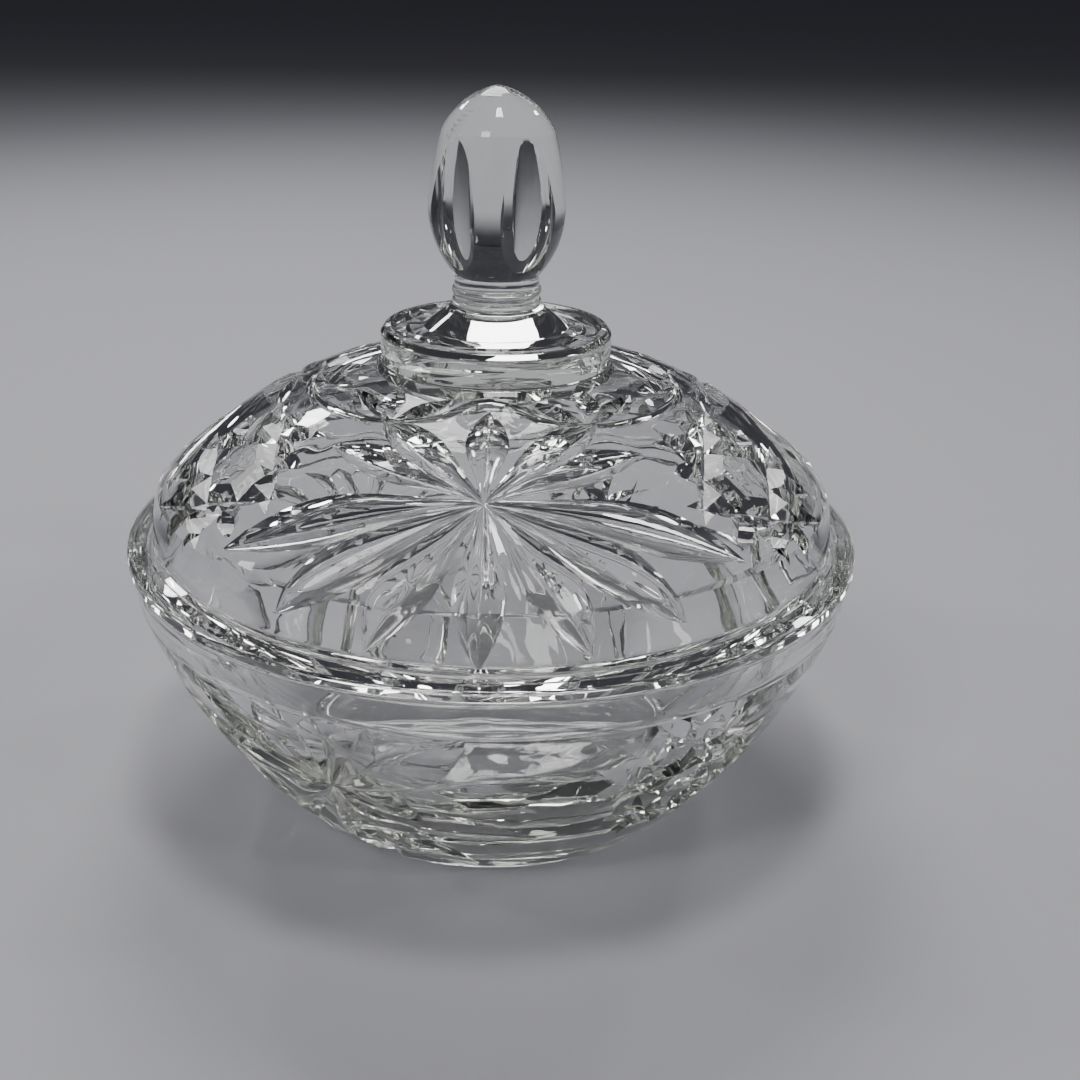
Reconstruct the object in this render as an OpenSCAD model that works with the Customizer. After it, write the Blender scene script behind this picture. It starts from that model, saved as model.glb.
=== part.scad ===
/* [Bowl] */
// Diameter across the bowl's rim
bowl_d = 163.6; // [140:0.2:200]
// Height from the table to the top of the bowl's rim
bowl_h = 59; // [48:1:80]
// Diameter of the foot that rests on the table
foot_d = 100; // [80:1:120]
// Width of the foot's resting ring
foot_w = 6; // [4:0.5:9]
// How far the underside is raised inside the foot's ring
foot_recess = 1.6; // [0.8:0.1:2.4]
// Height of the plain band below the rim
band_h = 8; // [5:0.5:12]
// How far the band draws in towards its lower edge
band_draw = 0.9; // [0.4:0.1:2]
// How far the flank bows out from a straight line
flank_bow = 3.5; // [1:0.5:6]
// Thickness of the bowl's glass at the side
bowl_wall = 5; // [4:0.5:7]
// Thickness of the bowl's floor, above the recess
floor_t = 5; // [4:0.5:8]
// Diameter of the flat middle of the bowl's floor
floor_d = 84; // [60:1:100]

/* [Lid] */
// How far the lid's edge stands out past the bowl's rim
lid_overhang = 0.7; // [0:0.1:2]
// Height of the lid's upright edge
edge_h = 2.4; // [1.5:0.1:4]
// Width of the plain flange between the edge and the dome
flange_w = 6; // [4:0.5:9]
// How far the flange rises towards the dome
flange_rise = 2.1; // [1:0.1:4]
// Height of the dome's steep shoulder above the flange
shoulder_h = 9.5; // [6:0.5:12]
// How far the shoulder draws in
shoulder_draw = 1.5; // [1:0.5:5]
// How far the shoulder bows out
shoulder_bow = 0.6; // [0.4:0.1:1.5]
// Height of the foot of the collar above the bowl's rim
dome_h = 41; // [34:0.5:50]
// How far the dome bows out from a straight line
dome_bow = 4.2; // [1:0.1:6]
// Thickness of the lid's glass
lid_wall = 5; // [4:0.5:7]
// Depth of the ring that locates the lid inside the bowl's rim
ring_depth = 3; // [2:0.5:6]
// Width of the locating ring
ring_w = 3.5; // [2.5:0.5:5]
// Clearance all round between the locating ring and the bowl's rim
ring_gap = 0.8; // [0.5:0.1:1.5]

/* [Collar and knob] */
// Diameter of the collar on top of the dome
collar_d = 50.8; // [44:0.2:58]
// Height of the collar's upright side
collar_h = 6.7; // [4:0.1:10]
// Height of the collar's sloping top
collar_top_h = 5.2; // [3:0.1:8]
// Diameter of the neck under the knob
neck_d = 18.4; // [14:0.2:22]
// Height of the neck
neck_h = 7; // [4:0.5:10]
// Diameter of the two beads round the neck
bead_d = 2.4; // [1.6:0.1:3]
// Widest diameter of the knob
knob_d = 29.8; // [26:0.2:34]
// Height from the neck to the widest part of the knob
knob_low_h = 15; // [12:0.5:18]
// Height from the widest part of the knob to its crown
knob_side_h = 15; // [12:0.5:18]
// Height of the knob's crown
crown_h = 9.2; // [6:0.1:12]
// Diameter at the foot of the crown
crown_d = 24; // [22:0.2:26]
// How far the knob bows out below its widest part
knob_low_bow = 1.5; // [0.5:0.1:2.5]
// How far the knob bows out above its widest part
knob_side_bow = 0.3; // [0.2:0.1:1.5]
// How far the crown bows out
crown_bow = 1.8; // [0.5:0.1:3]
// Depth of each flute, at the widest part of the knob
flute_depth = 3.3; // [1:0.1:4]
// Radius of each flute's hollow
flute_r = 12; // [8:0.5:16]
// How far each flute leans outwards towards its top, in degrees
flute_lean = 2.6; // [0:0.1:5]
// Direction of the first flute, in degrees from the front
flute_turn = -42; // [-90:1:90]

/* [Hidden] */
FLUTES = 5;
$fn = 180;

bowl_r = bowl_d / 2;
foot_r = foot_d / 2;
band_r = bowl_r - band_draw;
band_z = bowl_h - band_h;
floor_z = foot_recess + floor_t;
recess_r = foot_r - foot_w;

lid_r = bowl_r + lid_overhang;
dome_r = lid_r - flange_w;
flange_z = edge_h + flange_rise;
shoulder_r = dome_r - shoulder_draw;
shoulder_z = flange_z + shoulder_h;
collar_r = collar_d / 2;
collar_z = dome_h + collar_h;
neck_r = neck_d / 2;
neck_z = collar_z + collar_top_h;
bead_r = bead_d / 2;
knob_z = neck_z + neck_h;
knob_r = knob_d / 2;
knob_mid_z = knob_z + knob_low_h;
crown_z = knob_mid_z + knob_side_h;
crown_r = crown_d / 2;
ring_r = bowl_r - bowl_wall - ring_gap;
cavity_r = ring_r - ring_w;
hollow_shoulder_z = shoulder_z - lid_wall / 2;
hollow_top_z = dome_h - lid_wall;

// Points from a to b on the arc that bows out by `bow` to the right of the straight way, both ends in
function bowed(a, b, bow, steps = 12) =
    let (
        span = norm(b - a),
        radius = (span * span / 4 + bow * bow) / (2 * bow),
        along = (b - a) / span,
        out = [along[1], -along[0]],
        centre = (a + b) / 2 - out * (radius - bow),
        half = asin(span / 2 / radius)
    )
    [for (k = [0 : steps]) let (t = half * (2 * k / steps - 1)) centre + radius * (out * cos(t) + along * sin(t))];

module bowl() {
    flank = bowed([foot_r, 0], [band_r, band_z], flank_bow);
    space = bowed([floor_d / 2, floor_z], [band_r - bowl_wall, band_z], flank_bow);
    color("whitesmoke") rotate_extrude() difference() {
        polygon(concat([[0, 0]], flank, [[bowl_r, bowl_h], [0, bowl_h]]));
        polygon(concat([[0, floor_z]], space, [[bowl_r - bowl_wall, bowl_h + 1], [0, bowl_h + 1]]));
        translate([0, -1]) square([recess_r, foot_recess + 1]);
    }
}

// Half section of the dome, its flange and its locating ring, with the bowl's rim at height 0
module dome_outline() {
    shoulder = bowed([dome_r, flange_z], [shoulder_r, shoulder_z], shoulder_bow, 6);
    dome = bowed([shoulder_r, shoulder_z], [collar_r, dome_h], dome_bow);
    polygon(concat(
        [[0, -ring_depth], [ring_r, -ring_depth], [ring_r, 0], [lid_r, 0], [lid_r, edge_h]],
        shoulder, dome, [[0, dome_h]]
    ));
}

// Half section of the space under the lid, with its flat middle as wide as the collar
module dome_space() {
    low = [shoulder_r - lid_wall, hollow_shoulder_z];
    high = [collar_r, hollow_top_z];
    shoulder = bowed([cavity_r, 0], low, shoulder_bow, 6);
    dome = bowed(low, high, dome_bow);
    polygon(concat([[0, -ring_depth - 1], [cavity_r, -ring_depth - 1]], shoulder, dome, [[0, hollow_top_z]]));
}

// Half section of the collar, the neck with its two beads, and the knob
module knob_outline() {
    low = [neck_r, knob_z];
    mid = [knob_r, knob_mid_z];
    high = [crown_r, crown_z];
    top = [0, crown_z + crown_h];
    polygon(concat(
        [[0, dome_h - 1], [collar_r, dome_h - 1], [collar_r, collar_z], [neck_r + bead_r, neck_z]],
        bowed(low, mid, knob_low_bow, 8), bowed(mid, high, knob_side_bow, 6), bowed(high, top, crown_bow, 8)
    ));
    for (k = [1, 3]) translate([neck_r - bead_r / 2, neck_z + bead_r * k]) circle(bead_r);
}

// One scooped flute on the +X side of the knob
module flute() {
    translate([knob_r - flute_depth + flute_r, 0, knob_mid_z]) rotate([0, flute_lean, 0])
        translate([0, 0, -knob_low_h]) cylinder(r = flute_r, h = knob_low_h + knob_side_h + crown_h);
}

module lid() {
    color("aliceblue") translate([0, 0, bowl_h]) difference() {
        rotate_extrude() difference() {
            union() {
                dome_outline();
                knob_outline();
            }
            dome_space();
        }
        for (k = [0 : FLUTES - 1]) rotate([0, 0, 360 / FLUTES * k + flute_turn - 90]) flute();
    }
}

bowl();
lid();
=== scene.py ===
import bpy
from math import asin, atan2, cos, degrees, hypot, pi, radians, sin, tan
from mathutils import Matrix, Vector


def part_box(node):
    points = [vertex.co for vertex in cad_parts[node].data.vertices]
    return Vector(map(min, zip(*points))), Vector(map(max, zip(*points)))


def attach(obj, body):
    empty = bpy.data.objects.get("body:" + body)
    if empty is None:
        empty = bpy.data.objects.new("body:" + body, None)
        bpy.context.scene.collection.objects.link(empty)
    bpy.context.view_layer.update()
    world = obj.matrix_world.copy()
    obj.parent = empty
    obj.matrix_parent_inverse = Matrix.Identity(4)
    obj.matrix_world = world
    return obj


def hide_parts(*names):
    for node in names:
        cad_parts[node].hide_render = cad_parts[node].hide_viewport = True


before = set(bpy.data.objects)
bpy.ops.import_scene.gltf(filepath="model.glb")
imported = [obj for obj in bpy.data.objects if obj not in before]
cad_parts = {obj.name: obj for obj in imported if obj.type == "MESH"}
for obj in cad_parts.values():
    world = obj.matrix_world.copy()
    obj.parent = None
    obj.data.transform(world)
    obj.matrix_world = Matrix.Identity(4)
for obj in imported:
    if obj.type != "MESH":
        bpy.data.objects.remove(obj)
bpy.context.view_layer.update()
mm = 0.001
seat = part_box("bowl")[1].z / mm  # height of the bowl's rim, where the lid rests
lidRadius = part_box("lid")[1].x / mm
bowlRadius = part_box("bowl")[1].x / mm
thirds = (0, 120, 240)  # the pattern repeats three times round both pieces
print("frame loaded, rim at", round(seat, 2), "mm")


def clearSelection():
    if bpy.context.mode != "OBJECT":
        bpy.ops.object.mode_set(mode="OBJECT")
    bpy.ops.object.select_all(action="DESELECT")


def pick(obj):
    clearSelection()
    obj.select_set(True)
    bpy.context.view_layer.objects.active = obj


def faceOutwards():  # for the active mesh, in object or edit mode
    bpy.ops.object.mode_set(mode="EDIT")
    bpy.ops.mesh.select_all(action="SELECT")
    bpy.ops.mesh.normals_make_consistent(inside=False)
    bpy.ops.object.mode_set(mode="OBJECT")


def bowed(a, b, bow, steps):  # points from a to b on an arc that bows out to the right of the straight way
    span = hypot(b[0] - a[0], b[1] - a[1])
    radius = (span * span / 4 + bow * bow) / (2 * bow)
    along = ((b[0] - a[0]) / span, (b[1] - a[1]) / span)
    out = (along[1], -along[0])
    centre = [(a[i] + b[i]) / 2 - out[i] * (radius - bow) for i in (0, 1)]
    half = asin(span / 2 / radius)
    turns = [half * (2 * k / steps - 1) for k in range(steps + 1)]
    return [tuple(centre[i] + radius * (out[i] * cos(t) + along[i] * sin(t)) for i in (0, 1)) for t in turns]


def softened(points, steps=6):  # a point with a third number is rounded to that radius
    done = []
    for k, p in enumerate(points):
        if len(p) < 3 or k in (0, len(points) - 1):
            done.append(p[:2])
            continue
        here = Vector(p[:2])
        before = (Vector(points[k - 1][:2]) - here).normalized()
        after = (Vector(points[k + 1][:2]) - here).normalized()
        corner = before.angle(after)
        reach = p[2] / tan(corner / 2)
        middle = here + (before + after).normalized() * (p[2] / sin(corner / 2))
        start, end = here + before * reach - middle, here + after * reach - middle
        sweep = start.angle_signed(end)
        for j in range(steps + 1):
            done.append(tuple(middle + Matrix.Rotation(-sweep * j / steps, 2) @ start))
    return done


def spun(name, outline, steps, weld=2e-6):  # half outline in mm, turned all the way round the axis
    clearSelection()
    bpy.ops.mesh.primitive_plane_add(size=mm)
    obj = bpy.context.object
    obj.name = obj.data.name = name
    bpy.ops.object.mode_set(mode="EDIT")
    bpy.ops.mesh.merge(type="CENTER")
    bpy.ops.transform.translate(value=(outline[0][0] * mm, 0, outline[0][1] * mm))
    for a, b in zip(outline, outline[1:]):
        move = ((b[0] - a[0]) * mm, 0, (b[1] - a[1]) * mm)
        bpy.ops.mesh.extrude_region_move(TRANSFORM_OT_translate={"value": move})
    bpy.ops.mesh.select_all(action="SELECT")
    bpy.ops.mesh.spin(steps=steps, angle=2 * pi, center=(0, 0, 0), axis=(0, 0, 1))
    bpy.ops.mesh.select_all(action="SELECT")
    bpy.ops.mesh.remove_doubles(threshold=weld)
    faceOutwards()
    return obj


# the surface that a pattern is cut into, as a run of points from the axis outwards
class CutSurface:
    def __init__(self, outline, spread, outside, spacing=0.5):
        # spread is how fast the surface widens along its length, outside is 1 where outwards is to the left of the run
        self.points = [Vector(outline[0])]
        for a, b in zip(outline, outline[1:]):
            parts = max(1, round((Vector(b) - Vector(a)).length / spacing))
            for k in range(1, parts + 1):
                self.points.append(Vector(a).lerp(Vector(b), k / parts))
        self.run = [0.0]
        for a, b in zip(self.points, self.points[1:]):
            self.run.append(self.run[-1] + (b - a).length)
        self.spread, self.outside = spread, outside

    def point(self, s):  # the point at length s along the run, which goes on straight past both ends
        run, points = self.run, self.points
        if s <= 0:
            return points[0] + (points[1] - points[0]).normalized() * s
        if s >= run[-1]:
            return points[-1] + (points[-1] - points[-2]).normalized() * (s - run[-1])
        below, above = 0, len(run) - 1
        while above - below > 1:
            k = (below + above) // 2
            below, above = (k, above) if run[k] <= s else (below, k)
        return points[below].lerp(points[above], (s - run[below]) / (run[above] - run[below]))

    def at(self, s, lift, reach=2):  # the point a lift off the surface, square to its way over a reach to either side
        along = (self.point(s + reach) - self.point(s - reach)).normalized()
        return self.point(s) + Vector((-along.y, along.x)) * self.outside * lift

    def runAt(self, r):  # the length along the run at which the radius is r
        for k in range(len(self.points) - 1):
            a, b = self.points[k].x, self.points[k + 1].x
            if a <= r <= b:
                return self.run[k] + (self.run[k + 1] - self.run[k]) * (r - a) / max(b - a, 1e-9)
        return self.run[-1]


def wrapOn(obj, surface, r0, turn):  # lays a flat cutter on the surface, centred at radius r0 and azimuth turn
    s0, reach = surface.runAt(r0), r0 / surface.spread
    for v in obj.data.vertices:
        u, w, lift = v.co / mm
        far = hypot(u, reach + w)
        az = radians(turn) + atan2(u, reach + w) / surface.spread
        p = surface.at(s0 + far - reach, lift)
        v.co = Vector((p.x * sin(az), -p.x * cos(az), p.y)) * mm


# right halves of a groove's section, from the crease up, 1 wide and 1 deep where it meets the surface,
# and then on up to clear it: a scooped hollow with a narrow crease, and a wheel's clean mitre
scooped = [(0, -1), (0.05, -0.985), (0.1, -0.92), (0.22, -0.85), (0.36, -0.76), (0.5, -0.65),
           (0.65, -0.51), (0.8, -0.33), (0.92, -0.15), (1, 0), (1.45, 0.9)]
mitred = [(0, -1), (1.7, 0.7)]


# a groove 1 mm long on the flat: widths says how full it is along its length, tip how full at its very ends
def vCutter(name, section, widths, rows, tip=0.015):
    clearSelection()
    start, end = widths[0][0], widths[-1][0]

    def full(t):
        for (ta, fa), (tb, fb) in zip(widths, widths[1:]):
            if t <= tb:
                return fa + (fb - fa) * ((t - ta) / (tb - ta))
        return widths[-1][1]
    stops = [start + (end - start) * k / rows for k in range(rows + 1)]
    sizes = [max(full(t), tip) for t in stops]
    ring = [(-x, z) for x, z in section[:0:-1]] + section
    bpy.ops.mesh.primitive_circle_add(vertices=len(ring), radius=mm, fill_type="NGON")
    obj = bpy.context.object
    obj.name = obj.data.name = name
    for v, (x, z) in zip(obj.data.vertices, ring):
        v.co = Vector((x * sizes[0], start, z * sizes[0])) * mm
    bpy.ops.object.mode_set(mode="EDIT")
    bpy.ops.mesh.select_all(action="SELECT")
    for k in range(1, len(stops)):
        bpy.ops.mesh.extrude_region_move(TRANSFORM_OT_translate={"value": (0, (stops[k] - stops[k - 1]) * mm, 0)})
        grow = sizes[k] / sizes[k - 1]
        bpy.ops.transform.resize(value=(grow, 1, grow), center_override=(0, stops[k] * mm, 0))
    faceOutwards()
    return obj


def cutCopy(source, surface, r0, turn, halfWidth, length, depth, direction=0, shift=(0, 0)):
    # a copy of a flat cutter at its own size, turned on the flat, moved, and wrapped on the surface
    pick(source)
    bpy.ops.object.duplicate()
    obj = bpy.context.object
    obj.scale = (halfWidth, length, depth)
    obj.rotation_euler = (0, 0, -radians(direction))
    obj.location = (shift[0] * mm, shift[1] * mm, 0)
    bpy.ops.object.transform_apply(location=True, rotation=True, scale=True)
    wrapOn(obj, surface, r0, turn)
    faceOutwards()
    return obj


def cutAlong(source, surface, path, turn, halfWidth, depth, nudge=0.04):
    # a copy of a straight cutter bent along a path of (azimuth, radius) points on the surface,
    # square to the path's way over a nudge of its length to either side
    pick(source)
    bpy.ops.object.duplicate()
    obj = bpy.context.object
    spots = [(radians(a + turn), surface.runAt(r), r) for a, r in path]
    lengths = [0.0]
    for p, q in zip(spots, spots[1:]):
        lengths.append(lengths[-1] + hypot(q[1] - p[1], (q[0] - p[0]) * (p[2] + q[2]) / 2))

    def spotAt(t):
        want = t * lengths[-1]
        k = max([j for j in range(len(spots) - 1) if lengths[j] <= max(want, 0)], default=0)
        share = (want - lengths[k]) / (lengths[k + 1] - lengths[k])
        return [x + (y - x) * share for x, y in zip(spots[k], spots[k + 1])]
    for v in obj.data.vertices:
        across, t, lift = v.co / mm
        here, back, ahead = spotAt(t), spotAt(t - nudge), spotAt(t + nudge)
        way = Vector(((ahead[0] - back[0]) * here[2], ahead[1] - back[1])).normalized()
        az = here[0] + way.y * across * halfWidth / here[2]
        p = surface.at(here[1] - way.x * across * halfWidth, lift * depth)
        v.co = Vector((p.x * sin(az), -p.x * cos(az), p.y)) * mm
    faceOutwards()
    return obj


def roughened(obj, chosen, cuts, offset, seed):  # small uneven facets on the faces that chosen() says
    pick(obj)
    mesh = obj.data
    mesh.vertices.foreach_set("select", [False] * len(mesh.vertices))
    mesh.edges.foreach_set("select", [False] * len(mesh.edges))
    mesh.polygons.foreach_set("select", [chosen(f.center / mm) for f in mesh.polygons])
    bpy.ops.object.mode_set(mode="EDIT")
    bpy.ops.mesh.select_mode(type="FACE")
    bpy.ops.mesh.subdivide(number_cuts=cuts)
    bpy.ops.transform.vertex_random(offset=offset * mm, uniform=0, normal=1, seed=seed)
    bpy.ops.mesh.select_mode(type="VERT")
    bpy.ops.object.mode_set(mode="OBJECT")


def inHexagon(surface, r0, turns, size, slack=0.3, nearby=40):
    # says whether a point lies on a star's flat middle: within slack of the surface's height,
    # within nearby degrees of the star, and inside its hexagon
    s0, reach = surface.runAt(r0), r0 / surface.spread

    def inside(p):
        s = surface.runAt(hypot(p.x, p.y))
        if abs(surface.point(s).y - p.z) > slack:
            return False
        for turn in turns:
            az = (degrees(atan2(p.x, -p.y)) - turn + 180) % 360 - 180
            if abs(az) > nearby:
                continue
            angle, far = radians(az) * surface.spread, reach + s - s0
            u, w = far * sin(angle), far * cos(angle) - reach
            if max(u * sin(radians(a)) + w * cos(radians(a)) for a in range(30, 390, 60)) < size:
                return True
        return False
    return inside


def cutAway(body, cutters):  # cuts all of them at once, then clears them away
    tools = bpy.data.collections.new("tools")
    for c in cutters:
        tools.objects.link(c)
    m = body.modifiers.new("cut", "BOOLEAN")
    m.operation = "DIFFERENCE"
    m.operand_type = "COLLECTION"
    m.solver = "MANIFOLD"
    m.collection = tools
    pick(body)
    bpy.ops.object.modifier_apply(modifier=m.name)
    for c in cutters:
        mesh = c.data
        bpy.data.objects.remove(c)
        bpy.data.meshes.remove(mesh)
    bpy.data.collections.remove(tools)


leafCutter = vCutter("leafCutter", scooped, (
    (-0.03, 0), (0, 0.13), (0.1, 0.22), (0.2, 0.36), (0.3, 0.56), (0.4, 0.78), (0.5, 0.94),
    (0.58, 1), (0.66, 0.97), (0.74, 0.86), (0.82, 0.68), (0.9, 0.43), (0.96, 0.2), (1, 0)), 34)
grooveCutter = vCutter("grooveCutter", mitred, (
    (-1, 0), (-0.8, 0.5), (-0.55, 0.95), (0.55, 0.95), (0.8, 0.5), (1, 0)), 20)
sprigCutter = vCutter("sprigCutter", mitred, (
    (0, 0), (0.15, 0.45), (0.3, 0.85), (0.45, 1), (0.65, 0.85), (0.85, 0.45), (1, 0)), 14)
longCutter = vCutter("longCutter", scooped, (
    (0, 0), (0.05, 0.6), (0.2, 1), (0.8, 1), (0.95, 0.6), (1, 0)), 40)


def mirrored(rows):
    return list(rows) + [(-row[0],) + tuple(row[1:]) for row in rows if 0 < row[0] < 180]


def daisy(surface, piece, turn):  # petals are rows of direction, length and half width
    return [cutCopy(leafCutter, surface, piece["daisyRadius"], turn, half, length, piece["petalDepth"], direction)
            for direction, length, half in mirrored(piece["petals"])]


# six crossed grooves round a flat hexagon, with a short leaf in each notch between the points
starLeaf = {"from": 11, "long": 11, "short": 8, "half": 2.9, "depth": 2, "longOnes": (0, 60, 300)}
grooveReach = 2.35  # half a groove's length over the hexagon's apothem, so that neighbours cross outside it


def star(surface, piece, turn):
    made = []
    r0, size = piece["starRadius"], piece["starSize"]
    for out in range(0, 360, 60):
        length = starLeaf["long" if out in starLeaf["longOnes"] else "short"]
        shift = (starLeaf["from"] * sin(radians(out)), starLeaf["from"] * cos(radians(out)))
        made.append(cutCopy(sprigCutter, surface, r0, turn, starLeaf["half"], length, starLeaf["depth"], out, shift))
    for out in range(30, 390, 60):  # each groove lies across this direction
        shift = (size * sin(radians(out)), size * cos(radians(out)))
        made.append(cutCopy(grooveCutter, surface, r0, turn, piece["starHalf"], size * grooveReach,
                            piece["starDepth"], out + 90, shift))
    return made


def stippled(obj, surface, piece, turns):  # the pressed grain on the stars' flat middles
    middles = inHexagon(surface, piece["starRadius"], turns, piece["stippleSize"])
    roughened(obj, middles, 1, piece["stippleHeight"], piece["stippleSeed"])


bowl = {
    "footRadius": 50, "footRound": 0.9, "recess": 1.6, "recessRadius": 44, "recessSlope": 0.8, "recessRound": 0.6,
    "bandHeight": 8, "bandDraw": 0.9, "bandStep": 0.8, "bandSetBack": 0.3, "rimRound": 1.2,
    "flankBow": 3.5, "wall": 5, "floorHeight": 6.6, "floorRadius": 42, "floorRound": 3, "steps": 240,
    "spread": 0.53, "daisyRadius": 72, "daisyTurn": -24, "starRadius": 71, "starTurn": 36,
    "petals": [(0, 22, 5.4), (30, 26, 5.6), (60, 38, 6.2), (90, 49, 6.8), (120, 44, 6.4), (150, 43, 6.2), (180, 42, 6)],
    "petalDepth": 3.4, "starSize": 8.5, "starHalf": 3, "starDepth": 2.9,
    "stippleSize": 5.6, "stippleHeight": 0.05, "stippleSeed": 3,
}
bandZ = seat - bowl["bandHeight"]
bandR = bowlRadius - bowl["bandDraw"]
floorEdge = (bowl["floorRadius"], bowl["floorHeight"])
flank = bowed((bowl["footRadius"], 0), (bandR, bandZ), bowl["flankBow"], 24)
inside = bowed(floorEdge, (bandR - bowl["wall"], bandZ), bowl["flankBow"], 24)
outline = [(0, bowl["recess"]), (bowl["recessRadius"] - bowl["recessSlope"], bowl["recess"], bowl["recessRound"]),
           (bowl["recessRadius"], 0, bowl["recessRound"]), (bowl["footRadius"], 0, bowl["footRound"])]
outline += flank[1:-1]
stepR = flank[-2][0] * 0.25 + bandR * 0.75 - bowl["bandSetBack"]  # the small step under the plain band
outline += [(stepR, bandZ - bowl["bandStep"], 0.3), (bandR, bandZ, 0.35)]
outline += [(bowlRadius, seat, bowl["rimRound"]), (bowlRadius - bowl["wall"], seat, bowl["rimRound"])]
outline += inside[::-1][:-1] + [floorEdge + (bowl["floorRound"],), (0, bowl["floorHeight"])]
bowlGlass = spun("bowl_glass", softened(outline), bowl["steps"])
bowlSurface = CutSurface(flank, bowl["spread"], -1)
cutters = []
for third in thirds:
    cutters += daisy(bowlSurface, bowl, bowl["daisyTurn"] + third)
    cutters += star(bowlSurface, bowl, bowl["starTurn"] + third)
cutAway(bowlGlass, cutters)
stippled(bowlGlass, bowlSurface, bowl, [bowl["starTurn"] + third for third in thirds])
print("bowl cut,", len(bowlGlass.data.polygons), "faces")


lid = {
    "edge": 2.4, "edgeRound": 0.9, "flangeWidth": 6, "flangeRise": 2.1, "seatGap": 0.08, "steps": 240,
    "shoulderHeight": 9.5, "shoulderDraw": 1.5, "shoulderBow": 0.6, "domeHeight": 41, "domeBow": 4.2, "wall": 5,
    "ringRadius": 76, "ringDepth": 3, "ringWidth": 3.5, "ringRound": 0.8, "hollowRound": 3,
    "collarRadius": 25.4, "collarHeight": 6.7, "collarTop": 5.2, "collarDraw": 0.4, "collarRound": 0.8,
    "neckRadius": 9.2, "neckHeight": 7, "bead": 1.2, "beadHalf": 55,  # beadHalf is in degrees from the bead's middle
    "knobRadius": 14.9, "knobLow": 15, "knobLowBow": 1.5, "knobSide": 15, "knobSideBow": 0.3,
    "crownRadius": 12, "crownHeight": 9.2, "crownBow": 1.8,
    # points on the collar's top, from the neck outwards, above its edge
    "collarDish": [(11, 4.5, 0.6), (16, 1, 0.4), (19, 0.6, 0.3), (19.8, 0.15, 0.3), (21.8, 0.2),
                   (23.1, 0.9, 0.5), (24.4, 0.9, 0.5)],
    # two fine steps down the flange: radius, and the heights before and after it over the flange's slope
    "flangeSteps": [(78.1, 0.1, -0.132), (80.2, 0.056, -0.15)], "stepWidth": 0.25, "stepRound": 0.15,
    "spread": 0.84, "daisyRadius": 56.6, "starRadius": 61, "starTurn": 60,
    "petals": [(0, 34, 5.2), (38, 37.5, 5.5), (65, 45.5, 5.8), (87, 53.5, 5.8), (119.5, 36.5, 4.4),
               (138, 34, 4.4), (180, 26, 4.4)],
    "petalDepth": 2.7, "starSize": 8.5, "starHalf": 3, "starDepth": 2.6,
    "stippleSize": 5.6, "stippleHeight": 0.05, "stippleSeed": 5,
    # the border under the collar: paths of azimuth and radius, then half width and depth
    "arch": [(-30, 39.4), (-23, 38), (-16, 36.2), (-10, 32.6), (-6, 29.9), (0, 29),
             (6, 29.9), (10, 32.6), (16, 36.2), (23, 38), (30, 39.4)],
    "scallop": [(30, 39.4), (37, 40.6), (48, 41.2), (60, 41.3), (72, 41.2), (83, 40.6), (90, 39.4)],
    "leaves": [((31, 39), (58, 34)), ((30.5, 38.5), (42, 28.5)), ((29.5, 38.5), (15, 29.5))],
    "archCut": (1.3, 0.9), "scallopCut": (1.2, 0.8), "leafCut": (2.6, 1.5),
}
domeR = lidRadius - lid["flangeWidth"]
flangeZ = lid["edge"] + lid["flangeRise"]
shoulder = (domeR - lid["shoulderDraw"], flangeZ + lid["shoulderHeight"])
collarZ = lid["domeHeight"] + lid["collarHeight"]
neckZ = collarZ + lid["collarTop"]
knobZ = neckZ + lid["neckHeight"]
midZ = knobZ + lid["knobLow"]
crownZ = midZ + lid["knobSide"]
topZ = crownZ + lid["crownHeight"]
cavityR = lid["ringRadius"] - lid["ringWidth"]
hollowLow = (shoulder[0] - lid["wall"], shoulder[1] - lid["wall"] / 2)
hollowHigh = (lid["collarRadius"], lid["domeHeight"] - lid["wall"])
collarFoot = (lid["collarRadius"], lid["domeHeight"])

# the outside from the crown down to the edge, then the underside back up to the axis, with the rim at height 0
outer = [(0, topZ)] + bowed((lid["crownRadius"], crownZ), (0, topZ), lid["crownBow"], 14)[::-1][1:]
outer += bowed((lid["knobRadius"], midZ), (lid["crownRadius"], crownZ), lid["knobSideBow"], 14)[::-1][1:]
outer += bowed((lid["neckRadius"], knobZ), (lid["knobRadius"], midZ), lid["knobLowBow"], 14)[::-1][1:]
for k in (3, 1):
    beadR, beadZ = lid["neckRadius"] - lid["bead"] / 2, neckZ + lid["bead"] * k
    for a in range(lid["beadHalf"], -lid["beadHalf"] - 1, -11):
        outer.append((beadR + lid["bead"] * cos(radians(a)), beadZ + lid["bead"] * sin(radians(a))))
outer += [(lid["neckRadius"] + lid["bead"], neckZ, 0.5)]
outer += [(p[0], p[1] + collarZ) + p[2:] for p in lid["collarDish"]]
outer += [(lid["collarRadius"], collarZ - lid["collarDraw"], lid["collarRound"]), collarFoot + (0.6,)]
dome = bowed(shoulder, collarFoot, lid["domeBow"], 24)[::-1]
slope = bowed((domeR, flangeZ), shoulder, lid["shoulderBow"], 8)[::-1]
outer += dome[1:-1] + slope[:-1] + [(domeR, flangeZ, 0.4)]
for r, before, after in lid["flangeSteps"]:
    z = flangeZ - lid["flangeRise"] * (r - domeR) / lid["flangeWidth"]
    outer += [(r, z + before, lid["stepRound"]), (r + lid["stepWidth"], z + after, lid["stepRound"])]
outer += [(lidRadius, lid["edge"], lid["edgeRound"]), (lidRadius, lid["seatGap"], 0.5)]
under = [(lid["ringRadius"], lid["seatGap"]), (lid["ringRadius"], -lid["ringDepth"], lid["ringRound"]),
         (cavityR, -lid["ringDepth"], lid["ringRound"])]
under += bowed((cavityR, 0), hollowLow, lid["shoulderBow"], 8)[:-1]
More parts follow.
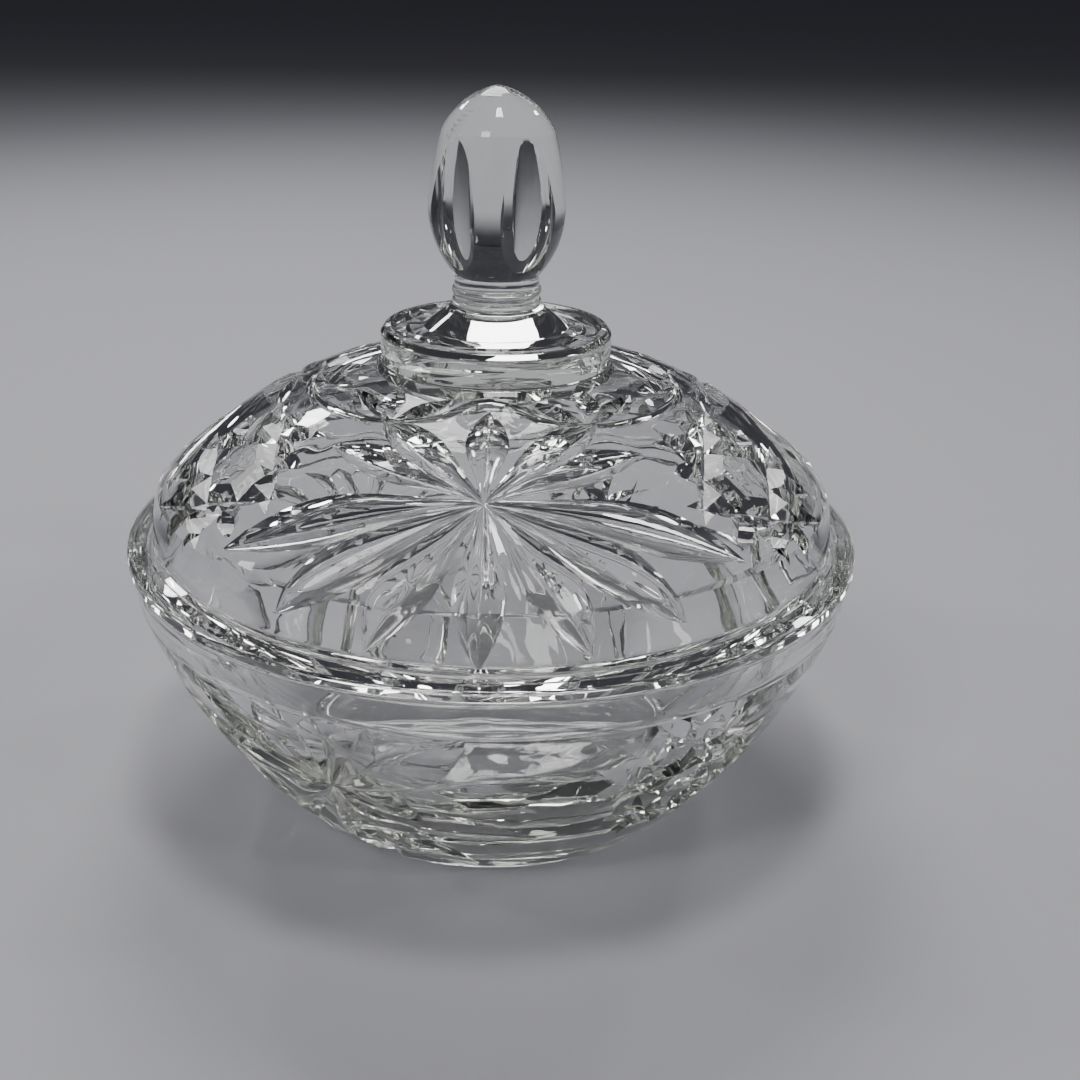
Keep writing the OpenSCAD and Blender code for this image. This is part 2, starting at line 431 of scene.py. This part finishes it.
under += bowed(hollowLow, hollowHigh, lid["domeBow"], 24)[:-1]
under += [hollowHigh + (lid["hollowRound"],), (0, hollowHigh[1])]
outline = [(p[0], p[1] + seat) + tuple(p[2:]) for p in outer + under]
lidGlass = spun("lid_glass", softened(outline), lid["steps"])
lidSurface = CutSurface([(p[0], p[1] + seat) for p in dome + slope[1:]], lid["spread"], 1)
cutters = []
for third in thirds:
    cutters += daisy(lidSurface, lid, third)
    cutters += star(lidSurface, lid, third + lid["starTurn"])
    cutters.append(cutAlong(longCutter, lidSurface, lid["arch"], third, *lid["archCut"]))
    cutters.append(cutAlong(longCutter, lidSurface, lid["scallop"], third, *lid["scallopCut"]))
    for leaf in lid["leaves"]:
        for side in (1, -1):
            path = [(side * a, r) for a, r in leaf]
            cutters.append(cutAlong(sprigCutter, lidSurface, path, third, *lid["leafCut"]))
cutAway(lidGlass, cutters)
stippled(lidGlass, lidSurface, lid, [lid["starTurn"] + third for third in thirds])
print("lid cut,", len(lidGlass.data.polygons), "faces")


# hollow lenses round the knob: a leaning cylinder, turned about the knob's widest height, copied round the axis
flute = {"count": 5, "radius": 12, "depth": 3.3, "lean": 2.6, "turn": -42, "vertices": 128}
clearSelection()
bpy.ops.mesh.primitive_cylinder_add(
    vertices=flute["vertices"], radius=flute["radius"] * mm, depth=(topZ - knobZ) * mm,
    location=(0, 0, (topZ + knobZ - 2 * midZ) / 2 * mm))
fluteCutter = bpy.context.object
fluteCutter.name = "fluteCutter"
bpy.ops.object.transform_apply(location=True, rotation=False, scale=False)
fluteCutter.location = ((lid["knobRadius"] - flute["depth"] + flute["radius"]) * mm, 0, (seat + midZ) * mm)
fluteCutter.rotation_euler = (0, radians(flute["lean"]), 0)
bpy.ops.object.transform_apply(location=True, rotation=True, scale=True)
knobCutters = []
for k in range(flute["count"]):
    pick(fluteCutter)
    bpy.ops.object.duplicate()
    one = bpy.context.object
    one.rotation_euler = (0, 0, radians(360 / flute["count"] * k + flute["turn"] - 90))
    bpy.ops.object.transform_apply(location=True, rotation=True, scale=True)
    knobCutters.append(one)

# flat facets over the crown: what lies outside rows is cut off, and every other row is turned half a facet,
# so that the facets are triangles
crown = {
    "facets": 12, "clear": [(0, 104), (18, 104), (18, 90.6)],
    "rows": [(12.5, 90.2), (11.8, 91.2), (10.6, 93.7), (8, 96.4), (4.4, 98.3), (0, 98.95)], "turnedRows": (93.7, 98.3),
}
crownOutline = [(r, z + seat) for r, z in crown["clear"] + crown["rows"]]
crownCutter = spun("crownCutter", crownOutline, crown["facets"])
for v in crownCutter.data.vertices:
    if round(v.co.z / mm - seat, 1) in crown["turnedRows"]:
        v.co = Matrix.Rotation(pi / crown["facets"], 3, "Z") @ v.co
bpy.ops.object.mode_set(mode="EDIT")
bpy.ops.mesh.select_all(action="SELECT")
bpy.ops.mesh.quads_convert_to_tris()
faceOutwards()
knobCutters.append(crownCutter)
cutAway(lidGlass, knobCutters)
print("knob fluted,", len(lidGlass.data.polygons), "faces")
for tool in (leafCutter, grooveCutter, sprigCutter, longCutter, fluteCutter):
    bpy.data.objects.remove(tool)


def linear(code):  # sRGB hex to linear colour
    parts = [int(code[k:k + 2], 16) / 255 for k in (1, 3, 5)]
    return tuple(c / 12.92 if c <= 0.04045 else ((c + 0.055) / 1.055) ** 2.4 for c in parts) + (1,)


def node(tree, kind, settings=(), inputs=(), links=()):
    made = tree.nodes.new(kind)
    for key, value in dict(settings).items():
        setattr(made, key, value)
    for key, value in dict(inputs).items():
        made.inputs[key].default_value = value
    for key, source in dict(links).items():
        tree.links.new(source, made.inputs[key])
    return made


# soda-lime glass pressed in an iron mould and fire-polished: clear, bright, a little wavy, faintly green where thick
glassLook = {
    "ior": 1.52, "roughness": 0.0, "tint": "#dbe2cc", "tintDensity": 6,
    "wavesPerMetre": 70, "waveDetail": 1.5, "waveRoughness": 0.4,  # one wave is about 14 mm long
    "waveHeight": 0.0004, "waveStrength": 0.35,
    "smoothAngle": 19,  # degrees: more than a step of the rounded edges, less than a cut's crisp brim
}


def pressedGlass(look):
    m = bpy.data.materials.new("pressed_soda_lime_glass")
    m.use_nodes = True
    t = m.node_tree
    t.nodes.clear()
    place = node(t, "ShaderNodeTexCoord")
    wave = node(t, "ShaderNodeTexNoise", links={"Vector": place.outputs["Object"]},
                inputs={"Scale": look["wavesPerMetre"], "Detail": look["waveDetail"],
                        "Roughness": look["waveRoughness"]})
    bump = node(t, "ShaderNodeBump", links={"Height": wave.outputs["Fac"]},
                inputs={"Strength": look["waveStrength"], "Distance": look["waveHeight"]})
    shade = node(t, "ShaderNodeBsdfPrincipled", links={"Normal": bump.outputs["Normal"]},
                 inputs={"Base Color": (1, 1, 1, 1), "Transmission Weight": 1, "IOR": look["ior"],
                         "Roughness": look["roughness"]})
    deep = node(t, "ShaderNodeVolumeAbsorption",
                inputs={"Color": linear(look["tint"]), "Density": look["tintDensity"]})
    node(t, "ShaderNodeOutputMaterial", links={"Surface": shade.outputs["BSDF"], "Volume": deep.outputs["Volume"]})
    return m


glass = pressedGlass(glassLook)
facetsFrom = crown["rows"][0][1] - 0.5  # the crown's facets are flat, from just under their lowest row
for piece, body in ((bowlGlass, "bowl"), (lidGlass, "lid")):
    piece.data.materials.clear()
    piece.data.materials.append(glass)
    pick(piece)
    bpy.ops.object.shade_smooth_by_angle(angle=radians(glassLook["smoothAngle"]))
    for f in piece.data.polygons:
        if f.center.z / mm - seat > facetsFrom:
            f.use_smooth = False
    even = piece.modifiers.new("evenNormals", "WEIGHTED_NORMAL")
    even.keep_sharp = True
    bpy.ops.object.modifier_apply(modifier=even.name)
    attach(piece, body)
    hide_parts(body)
print("glass on both pieces")


studio = {"floor": "#a9a9af", "floorRoughness": 0.7, "floorSize": 24, "world": "#4c4c53", "worldStrength": 0.55}
clearSelection()
bpy.ops.mesh.primitive_plane_add(size=studio["floorSize"])
floor = bpy.context.object
floor.name = "studio_floor"
paper = bpy.data.materials.new("matt_paper_floor")
paper.use_nodes = True
skin = paper.node_tree.nodes["Principled BSDF"]
skin.inputs["Base Color"].default_value = linear(studio["floor"])
skin.inputs["Roughness"].default_value = studio["floorRoughness"]
floor.data.materials.append(paper)

world = bpy.data.worlds.new("studio")
world.use_nodes = True
world.node_tree.nodes["Background"].inputs["Color"].default_value = linear(studio["world"])
world.node_tree.nodes["Background"].inputs["Strength"].default_value = studio["worldStrength"]
bpy.context.scene.world = world

# small lamps for glints and two soft ones that fill the cuts: name, place and diameter in metres, watts
lights = (
    ("overhead", (0.02, -0.12, 1.05), 0.2, 3.2),
    ("frontLeft", (-0.5, -0.7, 0.8), 0.1, 1.1), ("frontRight", (0.6, -0.55, 0.75), 0.1, 1.1),
    ("backLeft", (-0.5, 0.7, 0.6), 0.12, 1.2), ("backRight", (0.55, 0.6, 0.65), 0.12, 1.2),
    ("sideLeft", (-0.85, 0.05, 0.5), 0.1, 1), ("sideRight", (0.85, -0.05, 0.55), 0.1, 1),
    ("backSoft", (-0.1, 0.75, 1.0), 0.6, 7.5), ("frontSoft", (-0.45, -0.8, 1.1), 0.35, 3),
)
aim = Vector((0, 0, 0.07))
for name, spot, size, power in lights:
    clearSelection()
    bpy.ops.object.light_add(type="AREA", location=spot)
    lamp = bpy.context.object
    lamp.name = name
    lamp.data.shape = "DISK"
    lamp.data.size = size
    lamp.data.energy = power
    lamp.rotation_euler = (aim - Vector(spot)).to_track_quat("-Z", "Y").to_euler()

view = {"place": (0.01076, -0.30167, 0.18533), "down": 0.404259, "roll": 0.024608, "lens": 46.667,
        "sensor": 36, "nearest": 0.01}  # metres, radians, and millimetres for the lens and the sensor
bpy.ops.object.camera_add(location=view["place"])
camera = bpy.context.object
turned = Matrix.Rotation(pi / 2 - view["down"], 4, "X") @ Matrix.Rotation(view["roll"], 4, "Z")
camera.rotation_euler = turned.to_euler()
camera.data.lens = view["lens"]
camera.data.sensor_width = view["sensor"]
camera.data.clip_start = view["nearest"]
bpy.context.scene.camera = camera

bounces = {"through": 24, "mirror": 12}  # a ray crosses many walls of glass before it is out again
cycles = bpy.context.scene.cycles
cycles.max_bounces = bounces["through"]
cycles.transmission_bounces = bounces["through"]
cycles.glossy_bounces = bounces["mirror"]
print("studio ready")
